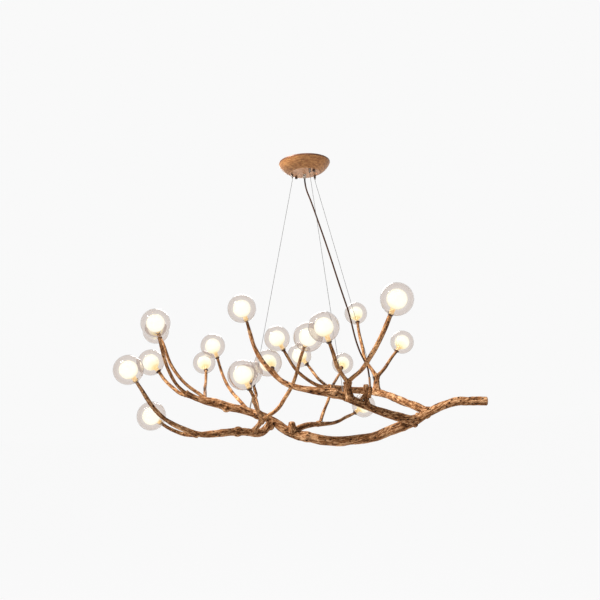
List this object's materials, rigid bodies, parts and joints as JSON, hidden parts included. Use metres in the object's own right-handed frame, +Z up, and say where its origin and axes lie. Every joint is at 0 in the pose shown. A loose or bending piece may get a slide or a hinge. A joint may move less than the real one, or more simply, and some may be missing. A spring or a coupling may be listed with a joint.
{
  "type": "branch chandelier",
  "caption": "Bare branch with curving twigs that each hold a lit glass ball, hung from a round ceiling canopy on three steel wires with one power cord.",
  "frame": {"origin": "centre of the ceiling plate's upper face, which lies on the ceiling", "axes": "+Z up into the ceiling, +X along the branch towards its sawn end, +Y away from the viewer's side"},
  "size_m": [1.2752, 1.1996, 1.0914],
  "materials": {
    "bark": "hand-painted bark on cast resin, matt with worn golden ridges",
    "clear_glass": "clear blown glass",
    "bronze": "dark bronze paint, satin",
    "amber_brass": "aged brass, satin",
    "lamp_glass": "frosted lamp",
    "frosted_glass": "opal white glass, lit warm",
    "zinc_steel": "zinc plated",
    "canopy_finish": "brushed brown and gold paint, satin",
    "terminal_plastic": "moulded, satin",
    "white_nylon": "moulded nylon",
    "chrome": "polished",
    "dark_chrome": "dark polished",
    "steel_wire": "bare stranded wire",
    "cord_jacket": "dark brown sheath, satin",
    "sleeve_rubber": "brown shrink sleeve"
  },
  "bodies": {
    "canopy": {"ceiling_plate": "zinc_steel", "canopy_shell": "canopy_finish", "canopy_knobs": "bronze", "terminal_block": "terminal_plastic", "cord_grip": "white_nylon", "wire_grippers": "chrome", "suspension_wires": "steel_wire", "power_cord": "cord_jacket"},
    "button_1": {"gripper_button_1": "dark_chrome"},
    "button_2": {"gripper_button_2": "dark_chrome"},
    "button_3": {"gripper_button_3": "dark_chrome"},
    "branch": {"main_limb": "bark", "upper_left_limb": "bark", "lower_left_limb": "bark", "middle_limb": "bark", "far_limb": "bark", "low_limb": "bark", "twig_a": "bark", "twig_b": "bark", "twig_d": "bark", "twig_e": "bark", "twig_f": "bark", "twig_g": "bark", "twig_i": "bark", "twig_j": "bark", "twig_k": "bark", "twig_l": "bark", "twig_m": "bark", "twig_n": "bark", "twig_o": "bark", "twig_p": "bark", "twig_q": "bark", "twig_r": "bark", "twig_t": "bark", "globe_a": "clear_glass", "globe_b": "clear_glass", "globe_c": "clear_glass", "globe_d": "clear_glass", "globe_e": "clear_glass", "globe_f": "clear_glass", "globe_g": "clear_glass", "globe_h": "clear_glass", "globe_i": "clear_glass", "globe_j": "clear_glass", "globe_k": "clear_glass", "globe_l": "clear_glass", "globe_m": "clear_glass", "globe_n": "clear_glass", "globe_o": "clear_glass", "globe_p": "clear_glass", "globe_q": "clear_glass", "globe_r": "clear_glass", "globe_s": "clear_glass", "globe_t": "clear_glass", "collars": "bronze", "lampholders": "amber_brass", "bulbs": "lamp_glass", "diffusers": "frosted_glass", "wire_crimps": "chrome", "cord_sleeve": "sleeve_rubber"}
  },
  "joints": [
    {"name": "height_adjust", "type": "slide", "parent": "canopy", "child": "branch", "axis": [0, 0, 1], "range_m": [0, 0.25], "deforming": ["suspension_wires", "power_cord"]},
    {"name": "button_press_1", "type": "slide", "parent": "canopy", "child": "button_1", "axis": [0, 0, 1], "range_m": [0, 0.002], "stiffness_N_per_m": 600, "springref_m": -0.0015},
    {"name": "button_press_2", "type": "slide", "parent": "canopy", "child": "button_2", "axis": [0, 0, 1], "range_m": [0, 0.002], "stiffness_N_per_m": 600, "springref_m": -0.0015},
    {"name": "button_press_3", "type": "slide", "parent": "canopy", "child": "button_3", "axis": [0, 0, 1], "range_m": [0, 0.002], "stiffness_N_per_m": 600, "springref_m": -0.0015}
  ]
}
